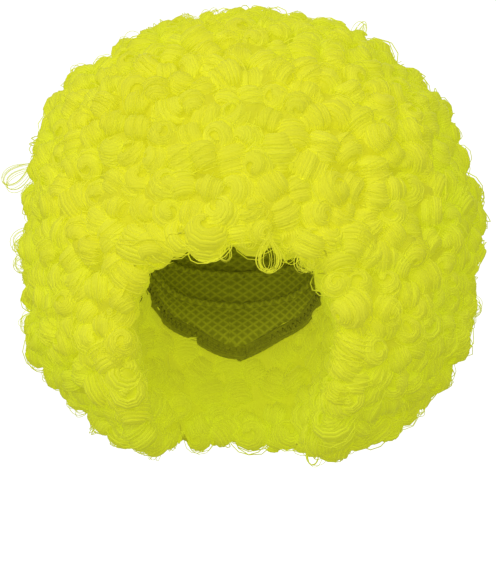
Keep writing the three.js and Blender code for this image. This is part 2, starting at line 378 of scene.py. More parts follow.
    def outer_arcs(
        self, ringlet: Batch, path: Array, out: Array, shade: float, thickness: float = 0.0
    ) -> None:
        """Adds a strand to a ringlet, as the arcs of it that don't lie hidden at the root.

        Args:
            ringlet: The ringlet.
            path: The places that the whole strand runs through.
            out: The way out at each place.
            shade: Its shade.
            thickness: Its thickness, or nought for the usual.
        """
        shown = np.concatenate([[False], path[:, 2] > self.root * self.radius, [False]])
        starts, ends = np.flatnonzero(shown[1:] & ~shown[:-1]), np.flatnonzero(shown[:-1] & ~shown[1:])
        for start, end in zip(starts, ends):
            if end - start > self.fewest_steps:
                arc, size = slice(start, end), thickness or self.strand_thickness
                ringlet.extend(thin_strand(path[arc], out[arc], size, shade, not thickness))


def thin_strand(path: Array, out: Array, thickness: float, shade: float, flat: bool = False) -> Batch:
    """Makes a strand that thins to its ends.

    Args:
        path: The places that it runs through.
        out: The way out at each place.
        thickness: Its thickness in the middle.
        shade: Its shade, from deep to outermost.
        flat: Whether it lies flat against its neighbours.

    Returns:
        A batch that holds the strand.
    """
    section = (FLAT_STRAND if flat else LOOSE_STRAND) * thickness
    angles = np.linspace(END_ANGLE, math.pi - END_ANGLE, len(path))
    sizes = np.clip(np.sin(angles) * END_SLOPE, END_SIZE, 1.0)
    return swept_band(path, out, section, sizes, np.full(len(section), shade))


@dataclass
class Spots:
    """Places on the hair that shows, each with the way out, the node, and whether it lies on an edge."""

    places: Array
    ways_out: Array
    nodes: Array
    edges: Array

    def __len__(self) -> int:
        """Counts the places."""
        return len(self.places)


def length_one(vectors: Array) -> Array:
    """Scales each row to a length of one."""
    return vectors / np.maximum(np.linalg.norm(vectors, axis=-1, keepdims=True), 1e-12)


@dataclass
class NodeMesh:
    """A node of the construction model as corners and triangles, with its doubles merged."""

    points: Array
    faces: Array

    @classmethod
    def read(cls, name: str) -> "NodeMesh":
        """Reads a node.

        Args:
            name: The node.

        Returns:
            Its mesh.
        """
        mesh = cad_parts[name].data
        points = np.empty(len(mesh.vertices) * 3, dtype=np.float32)
        mesh.vertices.foreach_get("co", points)
        mesh.calc_loop_triangles()
        faces = np.empty(len(mesh.loop_triangles) * 3, dtype=np.int32)
        mesh.loop_triangles.foreach_get("vertices", faces)
        rounded = np.round(points.reshape(-1, 3).astype(float), 6)
        unique, number = np.unique(rounded, axis=0, return_inverse=True)
        faces = number.ravel()[faces.reshape(-1, 3)]
        return cls(unique, faces[np.array([len(set(face)) == 3 for face in faces.tolist()])])

    def crosses(self) -> Array:
        """Gives each face's cross product, which points out and is twice its area long."""
        a, b, c = (self.points[self.faces[:, k]] for k in range(3))
        return np.cross(b - a, c - a)

    def middles(self) -> Array:
        """Gives each face's middle."""
        return self.points[self.faces].mean(axis=1)


def tree_of(places: Array) -> KDTree:
    """Makes a search tree of places."""
    tree = KDTree(len(places))
    for index, place in enumerate(places):
        tree.insert(place, index)
    tree.balance()
    return tree


def clear_of_face(places: Array, reach: float, kept: float = 0.0) -> Array:
    """Moves what hangs over the face opening from its sides out to its edge.

    Args:
        places: The places in mm.
        reach: How far past the edge they go in mm.
        kept: The share of the way that they stay back.

    Returns:
        The places, moved.
    """
    heights, right, left = np.array(OPENING, dtype=float).T
    x, y, z = np.moveaxis(places, -1, 0)
    half = np.where(x > 0, np.interp(z, heights, left), np.interp(z, heights, right)) + reach
    beside = (y < OPENING_DEPTH) & (half > reach) & (abs(x) < half) & (abs(x) > OPENING_MIDDLE)
    moved = np.where(beside, np.copysign(half - kept * (half - abs(x)), x), x)
    return np.stack([moved, y, z], -1)


@dataclass
class HairSurface:
    """The construction model's hair, read as one surface with the stretches of it that show."""

    names: tuple[str, ...]
    spacing: float = 17.6 * MM
    hidden_within: float = 1.6 * MM
    candidates: int = 40000
    rounds: int = 3
    inset: float = 9.0 * MM
    face_gap: float = 10.0
    face_kept: float = 0.12
    edge_reach: float = 18.0 * MM
    edge_share: float = 0.12
    outward_from: float = 0.6
    rise_share: float = 0.8
    radial_share: float = 0.4
    blend: float = 5.0 * MM
    seed: int = 11
    meshes: dict[str, NodeMesh] = field(default_factory=dict)
    showing: dict[str, Array] = field(default_factory=dict)
    ways: dict[str, Array] = field(default_factory=dict)

    def __post_init__(self) -> None:
        """Reads every node, and finds which of its faces show and which way each corner faces there."""
        self.meshes = {name: NodeMesh.read(name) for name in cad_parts}
        for name in self.names:
            self.showing[name] = self.in_the_open(self.tree_without(name), self.meshes[name].middles())
        middles = np.concatenate([self.meshes[n].middles()[self.showing[n]] for n in self.names])
        crosses = np.concatenate([self.meshes[n].crosses()[self.showing[n]] for n in self.names])
        for name in self.names:
            mesh = self.meshes[name]
            shown = np.zeros(len(mesh.points), dtype=bool)
            shown[mesh.faces[self.showing[name]]] = True
            apart = ((mesh.points[:, None, :] - middles[None, :, :]) ** 2).sum(axis=2)
            weights = np.exp(-apart / (2 * self.blend**2)) * shown[:, None]
            self.ways[name] = length_one(weights @ crosses)

    def tree_without(self, name: str) -> BVHTree:
        """Makes a search tree of every node but one."""
        points: list = []
        faces: list = []
        for other, mesh in self.meshes.items():
            if other != name:
                faces += (mesh.faces + len(points)).tolist()
                points += mesh.points.tolist()
        return BVHTree.FromPolygons(points, faces)

    def in_the_open(self, tree: BVHTree, places: Array) -> Array:
        """Tells which places have no neighbour against them.

        Args:
            tree: The neighbours.
            places: The places to look at.

        Returns:
            A true or false for each place.
        """
        return np.array([tree.find_nearest(Vector(place), self.hidden_within)[0] is None for place in places])

    def spots(self) -> Spots:
        """Spreads places evenly over all the hair that shows.

        Returns:
            The places, at least the spacing apart.
        """
        chance = np.random.default_rng(self.seed)
        areas = {n: np.linalg.norm(self.meshes[n].crosses(), axis=1) * self.showing[n] for n in self.names}
        total = sum(area.sum() for area in areas.values())
        places, ways, nodes = [], [], []
        for number, name in enumerate(self.names):
            mesh, area = self.meshes[name], areas[name]
            count = int(self.candidates * area.sum() / total)
            faces = mesh.faces[chance.choice(len(area), count, p=area / area.sum())]
            shares = chance.dirichlet((1, 1, 1), count)[:, :, None]
            here = (mesh.points[faces] * shares).sum(axis=1)
            free = self.in_the_open(self.tree_without(name), here)
            places.append(here[free])
            ways.append((self.ways[name][faces] * shares).sum(axis=1)[free])
            nodes.append(np.full(free.sum(), number))
        ways_out = length_one(np.concatenate(ways))
        everywhere = Spots(np.concatenate(places), ways_out, np.concatenate(nodes), np.array([]))
        return self.evened(everywhere, self.thinned(everywhere.places, chance))

    def thinned(self, places: Array, chance: np.random.Generator) -> list[int]:
        """Picks places at chance that are at least the spacing from each other."""
        cells: dict[tuple[int, int, int], list[int]] = {}
        kept: list[int] = []
        around = [(i, j, k) for i in (-1, 0, 1) for j in (-1, 0, 1) for k in (-1, 0, 1)]
        grid = np.floor(places / self.spacing).astype(int)
        for index in chance.permutation(len(places)):
            x, y, z = grid[index]
            near = [n for i, j, k in around for n in cells.get((x + i, y + j, z + k), ())]
            if near and np.min(np.sum((places[near] - places[index]) ** 2, axis=1)) < self.spacing**2:
                continue
            cells.setdefault((x, y, z), []).append(int(index))
            kept.append(int(index))
        return kept

    def evened(self, everywhere: Spots, kept: list[int]) -> Spots:
        """Moves the picked places to the middle of the surface that each has to itself, a few times over.

        Args:
            everywhere: All the places there are.
            kept: Which of them are picked.

        Returns:
            The evened places.
        """
        places = everywhere.places
        everything = tree_of(places)
        for _ in range(self.rounds):
            tree = tree_of(places[kept])
            owner = np.array([tree.find(place)[1] for place in places])
            shares = np.bincount(owner, minlength=len(kept))
            middles = np.stack([np.bincount(owner, places[:, k], len(kept)) / shares for k in range(3)], 1)
            kept = sorted({everything.find(middle)[1] for middle in middles})
        around = [[found[1] for found in everything.find_range(places[n], self.edge_reach)] for n in kept]
        ways = np.array([everywhere.ways_out[near].mean(axis=0) for near in around])
        bends = np.linalg.norm(ways, axis=1)
        away = np.linalg.norm(places - HAIR_MIDDLE, axis=1)
        rise = np.array([away[near].mean() for near in around]) - away[kept]
        radial = length_one(places[kept] - HAIR_MIDDLE)
        outer = np.sum(length_one(ways) * radial, axis=1) > self.outward_from
        spots = places[kept] + radial * (self.rise_share * rise * outer)[:, None]
        ways = length_one((1 - self.radial_share) * length_one(ways) + self.radial_share * radial)
        return Spots(spots, ways, everywhere.nodes[kept], bends < np.quantile(bends, self.edge_share))

    def fleece(self, name: str) -> Batch:
        """Makes the fleece under a section's ringlets: its form, drawn in where it shows and off the opening.

        Args:
            name: The section's node.

        Returns:
            The fleece.
        """
        mesh = self.meshes[name]
        points = mesh.points - self.ways[name] * self.inset
        points = clear_of_face(points / MM, self.face_gap, self.face_kept) * MM
        batch = Batch()
        batch.add(points, mesh.faces, points[:, :2], np.full(len(points), Layer.FLEECE.value), 0.5)
        return batch


@dataclass(frozen=True)
class Ramp:
    """A colour for each of four depths of hair, from the fleece out to the loose strands, darker deeper in as
    painted shade.
    """

    deep: Colour
    low: Colour
    high: Colour
    tip: Colour


@dataclass(frozen=True)
class Strip:
    """A row of shader nodes in one tree, laid out as they are added."""

    tree: bpy.types.NodeTree

    @classmethod
    def group(cls, name: str, inputs: dict[str, str], output: str, kind: str) -> "Strip":
        """Starts a shader node group.

        Args:
            name: Its name.
            inputs: The type of each input, by name.
            output: The name of its one output.
            kind: The type of its output.

        Returns:
            The group's row, with its input and output nodes in it.
        """
        tree = bpy.data.node_groups.new(name, "ShaderNodeTree")
        for label, given in inputs.items():
            tree.interface.new_socket(label, in_out="INPUT", socket_type="NodeSocket" + given)
        tree.interface.new_socket(output, in_out="OUTPUT", socket_type="NodeSocket" + kind)
        tree.nodes.new("NodeGroupInput")
        tree.nodes.new("NodeGroupOutput")
        return cls(tree)

    def given(self) -> dict[str, Socket]:
        """Gives what goes into the group, by name."""
        return {socket.name: socket for socket in self.tree.nodes["Group Input"].outputs}

    def closed(self, result: Socket) -> bpy.types.NodeTree:
        """Ends the group with its result, and gives its tree."""
        self.tree.links.new(result, self.tree.nodes["Group Output"].inputs[0])
        return self.tree

    def add(self, kind: str, inputs: Inputs | None = None, **values: object) -> bpy.types.Node:
        """Adds a node to the right of the last one.

        Args:
            kind: The node's type.
            inputs: What goes into its sockets, by name or number.
            values: Its properties.

        Returns:
            The node.
        """
        node = self.tree.nodes.new("ShaderNode" + kind)
        node.location = (len(self.tree.nodes) * 180, 0)
        for name, value in values.items():
            setattr(node, name, value)
        self.feed(node, inputs or {})
        return node

    def feed(self, node: bpy.types.Node, inputs: Inputs) -> None:
        """Puts links and values into a node.

        Args:
            node: The node.
            inputs: Another node's socket, which is linked, or a plain value, for each of its sockets.
        """
        for key, value in inputs.items():
            if isinstance(value, Socket):
                self.tree.links.new(value, node.inputs[key])
            else:
                node.inputs[key].default_value = value

    def math(self, operation: str, *terms: Socket | float, clamp: bool = False) -> Socket:
        """Adds a sum on its terms, and gives its result."""
        return self.add("Math", dict(enumerate(terms)), operation=operation, use_clamp=clamp).outputs[0]

    def vector(self, operation: str, first: Socket, second: Array | Colour) -> bpy.types.Node:
        """Adds a sum on two vectors."""
        return self.add("VectorMath", {0: first, 1: tuple(second)}, operation=operation)


def new_material(name: str) -> tuple[bpy.types.Material, Strip, bpy.types.Node]:
    """Makes a material, and gives it with its row of nodes and its shader."""
    material = bpy.data.materials.new(name)
    material.use_nodes = True
    return material, Strip(material.node_tree), material.node_tree.nodes["Principled BSDF"]


def fibre_lines_group() -> bpy.types.NodeTree:
    """Makes the group that draws fine fibres along a surface.

    Returns:
        A group that gives the fibres' height, from places along and across them.
    """
    sockets = {"Run": "Vector", "Tone": "Float", "Along": "Float", "Across": "Float"}
    strip = Strip.group("fibre_lines", sockets, "Lines", "Float")
    given = strip.given()
    parts = strip.add("SeparateXYZ", {0: given["Run"]}).outputs
    along = strip.math("MULTIPLY", parts["X"], given["Along"])
    across = strip.math("MULTIPLY", parts["Y"], given["Across"])
    shift = strip.math("MULTIPLY", given["Tone"], 37.0)
    place = strip.add("CombineXYZ", {"X": along, "Y": across, "Z": shift}).outputs[0]
    noise = strip.add("TexNoise", {"Scale": 1.0, "Detail": 3.0, "Roughness": 0.6, "Vector": place}).outputs[0]
    return strip.closed(strip.add("MapRange", {"From Min": 0.3, "From Max": 0.7, "Value": noise}).outputs[0])


def swirls_group() -> bpy.types.NodeTree:
    """Makes the group that draws curled fibre on the fleece, where no ringlet covers it.

    Returns:
        A group that puts swirls in place of lines where the shade is that of the fleece.
    """
    sockets = {"Place": "Vector", "Shade": "Float", "Lines": "Float"}
    strip = Strip.group("fleece_swirls", sockets, "Lines", "Float")
    given = strip.given()
    rings = {"Scale": 70.0, "Distortion": 22.0, "Detail": 2.0, "Detail Scale": 0.9, "Vector": given["Place"]}
    wave = strip.add("TexWave", rings, wave_type="RINGS", rings_direction="SPHERICAL").outputs["Fac"]
    fleece = strip.math("LESS_THAN", given["Shade"], 0.5 * (Layer.FLEECE.value + Layer.CORE.value))
    mix = strip.add("Mix", {0: fleece, 2: given["Lines"], 3: wave}, data_type="FLOAT")
    return strip.closed(mix.outputs[0])


def painted_shade_group() -> bpy.types.NodeTree:
    """Makes the group for painted shade: greener and darker at the sides, low down and to the wearer's left,
    plus uneven tone at chance.

    Returns:
        A group that turns one colour towards another.
    """
    sockets = {"Place": "Vector", "Color": "Color", "Shaded Color": "Color"}
    strip = Strip.group("painted_shade_drift", sockets, "Color", "Color")
    given = strip.given()
    centred = strip.vector("SUBTRACT", given["Place"], HAIR_MIDDLE).outputs[0]
    shares = strip.vector("DIVIDE", centred, HAIR_HALF_SIZE).outputs[0]
    depth = strip.math("ABSOLUTE", strip.add("SeparateXYZ", {0: shares}).outputs["Y"])
    span = {"From Min": 0.95, "From Max": 0.1, "Value": depth}
    side = strip.add("MapRange", span, interpolation_type="SMOOTHSTEP").outputs[0]
    noise = strip.add("TexNoise", {"Scale": 28.0, "Detail": 2.0, "Vector": given["Place"]}).outputs[0]
    uneven = strip.math("MULTIPLY_ADD", noise, 0.9, -0.45)
    # Painted shade: darker and greener low down and to the wearer's left.
    lower = strip.vector("DOT_PRODUCT", shares, (0.26, 0.0, -0.5)).outputs["Value"]
    shaded = strip.math("ADD", lower, side, clamp=True)
    amount = strip.math("ADD", shaded, uneven, clamp=True)
    mix = strip.add("Mix", {0: amount, 6: given["Color"], 7: given["Shaded Color"]}, data_type="RGBA")
    return strip.closed(mix.outputs[2])


@dataclass(frozen=True)
class HairFinish:
    """Curled neon fibre with painted light: lemon in front, greener and darker to the sides and low down,
    olive deep between the curls as painted shade, and an even emission that lifts the shade.
    """

    # The front ramp is the lit colour and the side ramp its shaded copy, as painted shade.
    front: Ramp = Ramp((0.47, 0.44, 0.010), (0.56, 0.54, 0.016), (0.64, 0.62, 0.025), (0.69, 0.68, 0.035))
    side: Ramp = Ramp((0.38, 0.41, 0.008), (0.45, 0.51, 0.012), (0.51, 0.59, 0.018), (0.56, 0.64, 0.026))
    roughness: float = 0.7
    sheen: float = 0.06
    # An emission that lifts the shade between the curls and at the sides, as painted fill light.
    painted_glow: float = 0.51
    painted_glow_colour: Colour = (0.60, 0.62, 0.02)
    specular: float = 0.2
    relief: float = 0.22 * MM
    relief_share: float = 0.8
    stops: Range = (0.45, 0.85)
    along: float = 140.0
    across: float = 1300.0
    streak: float = 0.08
    tone_spread: float = 0.16

    def ramp(self, strip: Strip, colours: Ramp, shade: Socket) -> Socket:
        """Adds a colour ramp over the depth in the hair.

        Args:
            strip: The material's nodes.
            colours: The four colours.
            shade: The depth, from 0 to 1.

        Returns:
            The socket with the colour.
        """
        node = strip.add("ValToRGB", {0: shade})
        stops = node.color_ramp.elements
        for place in self.stops:
            stops.new(place)
        for stop, colour in zip(stops, (colours.deep, colours.low, colours.high, colours.tip)):
            stop.color = (*colour, 1.0)
        return node.outputs[0]

    def build(
        self, lines: bpy.types.NodeTree, swirls: bpy.types.NodeTree, shade_drift: bpy.types.NodeTree
    ) -> bpy.types.Material:
        """Makes the material.

        Args:
            lines: The group that draws fibres.
            swirls: The group that draws swirls on the fleece.
            shade_drift: The group that paints shade on the colour.

        Returns:
            The material.
        """
        material, strip, shader = new_material("neon_fibre")
        shade = strip.add("Attribute", attribute_name="shade").outputs["Fac"]
        tone = strip.add("Attribute", attribute_name="tone").outputs["Fac"]
        place = strip.add("TexCoord").outputs
        run = {"Run": place["UV"], "Tone": tone, "Along": self.along, "Across": self.across}
        fibre = strip.add("Group", node_tree=lines)
        strip.feed(fibre, run)
        swirl = strip.add("Group", node_tree=swirls)
        strip.feed(swirl, {"Place": place["Object"], "Shade": shade, "Lines": fibre.outputs["Lines"]})
        height = swirl.outputs["Lines"]
        streak = strip.math("MULTIPLY_ADD", height, self.streak, -0.5 * self.streak)
        chance = strip.math("MULTIPLY_ADD", tone, self.tone_spread, streak)
        depth = strip.math("ADD", shade, chance, clamp=True)
        colour = strip.add("Group", node_tree=shade_drift)
        front, side = self.ramp(strip, self.front, depth), self.ramp(strip, self.side, depth)
        strip.feed(colour, {"Place": place["Object"], "Color": front, "Shaded Color": side})
        bump = strip.add("Bump", {"Distance": self.relief, "Strength": self.relief_share, "Height": height})
        looks = {
            "Base Color": colour.outputs["Color"],
            # Painted fill light, from the emission.
            "Emission Color": (*self.painted_glow_colour, 1.0),
            "Emission Strength": self.painted_glow,
            "Normal": bump.outputs["Normal"],
            "Roughness": self.roughness,
            "Sheen Weight": self.sheen,
            "Specular IOR Level": self.specular,
        }
        strip.feed(shader, looks)
        return material


@dataclass(frozen=True)
class Stand:
    """Where a ringlet stands."""

    turn: Array
    middle: Array

    def move(self, points: Array) -> Array:
        """Moves a ringlet's corners there."""
        return points @ self.turn.T + self.middle


@dataclass
class HairCoat:
    """All the hair: a fleece for each section, under ringlets that stand out of it at all angles."""

    names: tuple[str, ...]
    material: bpy.types.Material
    shape: Ringlet = Ringlet()
    edge_shape: Ringlet = Ringlet(root=-0.8, strands=5)
    whole_shape: Ringlet = Ringlet(root=-2.0)
    kinds: int = 24
    sizes: Range = (0.9, 1.42)
    proud: float = 3.4 * MM
    proud_share: Range = (0.3, 1.5)
    sunk: float = 12.4 * MM
    face_gap: float = 0.85
    face_tuck: float = 3.5 * MM
    tuck_from: float = 0.3
    facing_gain: float = 1.6
    lump: float = 4.16 * MM
    lump_length: float = 30.0 * MM
    lump_phases: tuple[float, float, float] = (1.0, 2.0, 0.5)
    inner_painted_shade: float = 0.5
    inner_below: float = 0.1
    airy_share: float = 0.1
    airy_strands: int = 5
    airy_reach: float = 9.5 * MM
    seed: int = 5

    def turned(self, way: Array, chance: np.random.Generator) -> Array:
        """Gives a turn that brings the Z axis to the way out, with a spin at chance round it."""
        across = length_one(np.cross(way, chance.normal(size=3)))
        return np.stack([across, np.cross(way, across), way], 1)

    def add_single_curls(self, batches: dict[str, Batch], spots: Spots, chance: np.random.Generator) -> None:
        """Adds the curls that have a place of their own, each to the piece of the nearest ringlet."""
        for x, y, z, size, strands, ends in SINGLE_CURLS:
            middle = np.array((x, y, z)) * MM
            node = spots.nodes[np.argmin(np.sum((spots.places - middle) ** 2, axis=1))]
            whole = self.whole_shape
            curl = whole.open_loops(strands, chance) if strands else whole.make(chance)
            across, up = math.cos(math.radians(ends)), math.sin(math.radians(ends))
            hung = np.array(((across, 0.0, up), (0.0, 1.0, 0.0), (-up, 0.0, across)))
            turn = hung if strands else self.turned(np.array((0.0, -1.0, 0.0)), chance)
            move = Stand(turn * size, middle).move
            batches[self.names[node]].extend(curl, chance.uniform(), move)

    def lift(self, spot: Array, way: Array) -> float:
        """Gives how much further out than the rest a ringlet stands.

        Args:
            spot: The ringlet's place.
            way: The way out there.

        Returns:
            A distance, less round the face and more where the hair is full.
        """
        x, y, z = (spot - HAIR_MIDDLE) / np.linalg.norm(spot - HAIR_MIDDLE)
        turns, fuller = zip(*FULLNESS)
        facing = min(1.0, self.facing_gain * abs(y))
        full = np.interp(math.degrees(math.atan2(x, z)), turns, fuller) * (1 - facing) * MM
        full += self.lump * facing * float(np.prod(np.sin(spot / self.lump_length + self.lump_phases)))
        inward = float(way @ length_one(np.array((-spot[0], 0.0, FACE_HEIGHT - spot[2]))))
        return full - (self.face_tuck * inward if spot[1] < 0 and inward > self.tuck_from else 0.0)

    def placed(self, spot: Array, way: Array, chance: np.random.Generator) -> Stand:
        """Chooses how a ringlet stands on a place.

        Args:
            spot: The place.
            way: The way out there.
            chance: The source of its lean, turn and size.

        Returns:
            Its stand.
        """
        turn = self.turned(way, chance)
        size = chance.uniform(*self.sizes)
        out = self.proud * chance.uniform(*self.proud_share) - self.sunk * size + self.lift(spot, way)
        reach = self.face_gap * self.shape.radius * size
        return Stand(turn * size, clear_of_face((spot + way * out) / MM, reach / MM) * MM)

    def build(self) -> None:
        """Makes one piece of hair for each section."""
        chance = np.random.default_rng(self.seed)
        surface = HairSurface(self.names)
        spots = surface.spots()
        kinds = [self.shape.make(chance) for _ in range(self.kinds)]
        round_kinds = [self.edge_shape.make(chance) for _ in range(self.kinds // 2)]
        airy_kinds = [self.shape.open_loops(self.airy_strands, chance) for _ in range(self.kinds // 2)]
        batches = {name: surface.fleece(name) for name in self.names}
        for place, way, node, edge in zip(spots.places, spots.ways_out, spots.nodes, spots.edges):
            choice = round_kinds if edge else kinds
            kind = choice[chance.integers(len(choice))]
            # Ringlets that face in, towards the head, keep only part of their shade: painted shade inside the
            # opening.
            inner = way @ length_one(place - HAIR_MIDDLE) < self.inner_below
            light = self.inner_painted_shade if inner else 1.0
            stand = self.placed(place, way, chance)
            batches[self.names[node]].extend(kind, chance.uniform(), stand.move, light)
            if not inner and chance.uniform() < self.airy_share:
                airy = Stand(self.turned(-way, chance), stand.middle + way * self.airy_reach)
                loops = airy_kinds[chance.integers(len(airy_kinds))]
                batches[self.names[node]].extend(loops, chance.uniform(), airy.move)
        self.add_single_curls(batches, spots, chance)
        for name, batch in batches.items():
            piece = batch.build(name.replace("curls", "ringlets"))
            piece.data.materials.append(self.material)
            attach(piece, "root")
            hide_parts(name)
            LOG.info("%s: %d triangles", piece.name, len(piece.data.polygons))
        LOG.info("%d ringlets, %d on edges", len(spots), spots.edges.sum())


class Weave(Enum):
    """How a cloth is made. The value is the pitch of its pattern along and across, in repeats a metre."""

    NET = (420.0, 420.0)
    RIB = (60.0, 900.0)
    TWIST = (700.0, 1600.0)


@dataclass(frozen=True)
class ClothFinish:
    """A yellow cloth of the foundation: matt, with its weave as relief."""

    name: str
    colour: Colour
    weave: Weave
    dark_share: float = 0.62
    roughness: float = 0.85
    sheen: float = 0.1
    specular: float = 0.15
    relief: float = 0.3 * MM
    slant: float = 0.95
    sharpness: float = 2.5

    def build(self, lines: bpy.types.NodeTree) -> bpy.types.Material:
        """Makes the material.

        Args:
            lines: The group that draws fibres.

        Returns:
            The material.
        """
        material, strip, shader = new_material(self.name)
        run = strip.add("TexCoord").outputs["UV"]
        along, across = self.weave.value
        if self.weave is Weave.NET:
            height = self.net(strip, run, along)
        else:
            fibre = strip.add("Group", node_tree=lines)
            strip.feed(fibre, {"Run": run, "Along": along, "Across": across})
            height = fibre.outputs["Lines"]
        dark = tuple(self.dark_share * value for value in self.colour)
        colours = {0: height, 6: (*dark, 1.0), 7: (*self.colour, 1.0)}
        looks = {
            "Base Color": strip.add("Mix", colours, data_type="RGBA").outputs[2],
            "Normal": strip.add("Bump", {"Distance": self.relief, "Height": height}).outputs["Normal"],
            "Roughness": self.roughness,
            "Sheen Weight": self.sheen,
            "Specular IOR Level": self.specular,
        }
        strip.feed(shader, looks)
        return material

    def net(self, strip: Strip, run: Socket, pitch: float) -> Socket:
        """Adds two sets of slanted threads that cross as a net.

        Args:
            strip: The material's nodes.
            run: The places along and across.
            pitch: Meshes a metre.

        Returns:
            The socket with the net's height.
        """
        threads = []
        for turn in (self.slant, -self.slant):
            turned = strip.add("Mapping", {"Rotation": (0.0, 0.0, turn), "Vector": run}).outputs[0]
            bands = {"Scale": pitch / TURN, "Vector": turned}
            threads.append(strip.add("TexWave", bands, wave_type="BANDS", bands_direction="X").outputs["Fac"])
        return strip.math("POWER", strip.math("MAXIMUM", *threads), self.sharpness)


@dataclass
class Foundation:
    """What the hair is sewn to: a stretch net cap, rows of weft sewn inside it, and its elastic edge."""

    net: bpy.types.Material
    rib: bpy.types.Material
    thread: bpy.types.Material
    middle: tuple[float, float, float] = (0.0, 0.0, -0.092)
    head_radius: float = 90.0 * MM
    head_girth: float = 80.0 * MM
    tilt: float = 0.25
    pucker: float = 0.3 * MM
    pucker_rows: int = 64
    pucker_waves: int = 9
    rows: int = 7
    steps: int = 96
    waves: int = 3
    smoothings: int = 40
    lap: float = 0.5 * MM
    weft_lap: float = 0.08
    weft_width: float = 5.0 * MM
    weft_thickness: float = 0.9 * MM
    weft_edge: float = 0.3
    weft_face: float = 0.3 * MM
    stitch: float = 2.6 * MM
    stitch_thickness: float = 0.6 * MM
    band_lap: float = 0.1
    band_ribs: int = 6
    rib_depth: float = 0.25 * MM
    band_thickness: float = 1.4 * MM
    band_gap: float = 0.2 * MM
    gather: float = 0.25 * MM
    gathers: int = 110

    def build(self) -> None:
        """Makes the cap with its rows of weft, and the band."""
        self.make_cap()
        self.make_wefts()
        self.make_band()

    def edge(self, tree: BVHTree, turns: Array) -> tuple[Array, Array]:
        """Finds where a node of the foundation begins and ends, seen from the head's middle.

        Args:
            tree: The node.
            turns: The turns round the head to look along.

        Returns:
            For each turn, the highest and the lowest elevation that meet the node.
        """
        elevations = np.radians(np.arange(89.0, -60.0, -0.5))
        high, low = [], []
        for turn in turns:
            met = [e for e in elevations if self.meet(tree, turn, e) is not None]
            high.append(met[0])
            low.append(met[-1])
        return np.array(high), np.array(low)

    def meet(self, tree: BVHTree, turn: float, elevation: float) -> Vector | None:
        """Gives the first place that a line from the head's middle meets, if any."""
        flat = math.cos(elevation)
        way = Vector((math.sin(turn) * flat, -math.cos(turn) * flat, math.sin(elevation)))
        return tree.ray_cast(Vector(self.middle), way)[0]

    def ring(self, name: str, share: float, turns: Array, smooth: bool = False) -> tuple[Array, Array]:
        """Gives a ring on the inside of a node.

        Args:
            name: The node.
            share: How far down it the ring runs, from nought at its top edge to one at its lower edge.
            turns: The turns round the head.
            smooth: Whether the ring runs more level than the node's edge.

        Returns:
            The ring's places and the way out at each.
        """
        mesh = NodeMesh.read(name)
        tree = BVHTree.FromPolygons(mesh.points.tolist(), mesh.faces.tolist())
        high, low = self.edge(tree, turns)
        if smooth:
            level = np.fft.rfft(low)
            level[self.waves :] = 0
            low = np.maximum(np.fft.irfft(level, len(low)), low)
        places = [self.meet(tree, t, h + (l - h) * share) for t, h, l in zip(turns, high, low)]
        ring = np.array([place[:] for place in places])
        for _ in range(self.smoothings * len(turns) // (3 * self.steps)):
            ring[1:-1] = 0.25 * ring[:-2] + 0.5 * ring[1:-1] + 0.25 * ring[2:]
        upward = np.array((0.0, 0.0, self.tilt * share * self.head_radius))
        return ring, length_one(ring - np.array(self.middle) + upward)

    def make_cap(self) -> None:
        """Makes the net: the node's own form, smoothed, with small puckers."""
        bpy.ops.object.select_all(action="DESELECT")
        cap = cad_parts["cap"].copy()
        cap.data = cap.data.copy()
        cap.name = "net_cap"
        bpy.context.collection.objects.link(cap)
        bpy.context.view_layer.objects.active = cap
        cap.select_set(True)
        bpy.ops.object.mode_set(mode="EDIT")
        bpy.ops.mesh.select_all(action="SELECT")
        bpy.ops.mesh.remove_doubles(threshold=0.01 * MM)
        bpy.ops.mesh.tris_convert_to_quads(face_threshold=1.2, shape_threshold=1.2)
        bpy.ops.mesh.subdivide(number_cuts=3, smoothness=0.6)
        bpy.ops.mesh.faces_shade_smooth()
        bpy.ops.object.mode_set(mode="OBJECT")
        mesh = cap.data
        points = np.empty(len(mesh.vertices) * 3, dtype=np.float32)
        mesh.vertices.foreach_get("co", points)
        points = points.reshape(-1, 3)
        way = points - np.array(self.middle)
        turn, reach = np.arctan2(way[:, 0], -way[:, 1]), np.linalg.norm(way, axis=1)
        fall = np.arccos(np.clip(way[:, 2] / reach, -1, 1))
        uneven = 0.6 + 0.4 * np.sin(self.pucker_waves * turn)
        pucker = self.pucker * np.sin(fall * self.pucker_rows) * uneven
        points += length_one(way) * pucker[:, None]
        mesh.vertices.foreach_set("co", points.astype(np.float32).ravel())
        corner = np.empty(len(mesh.loops), dtype=np.int32)
        mesh.loops.foreach_get("vertex_index", corner)
        while mesh.uv_layers:
            mesh.uv_layers.remove(mesh.uv_layers[0])
        sizes = np.array([len(face.vertices) for face in mesh.polygons])
        starts = np.concatenate([[0], np.cumsum(sizes)[:-1]])
        last = np.repeat(np.maximum.reduceat(turn[corner], starts), sizes)
        turns = turn[corner] + np.where(last - turn[corner] > math.pi, 2 * math.pi, 0)
        lines = np.stack([turns * self.head_girth, fall[corner] * self.head_radius], 1)
        mesh.uv_layers.new(name="fibres").data.foreach_set("uv", lines.astype(np.float32).ravel())
        mesh.materials.clear()
        mesh.materials.append(self.net)
        mesh.update()
        self.finish(cap, "cap", "cap_net")

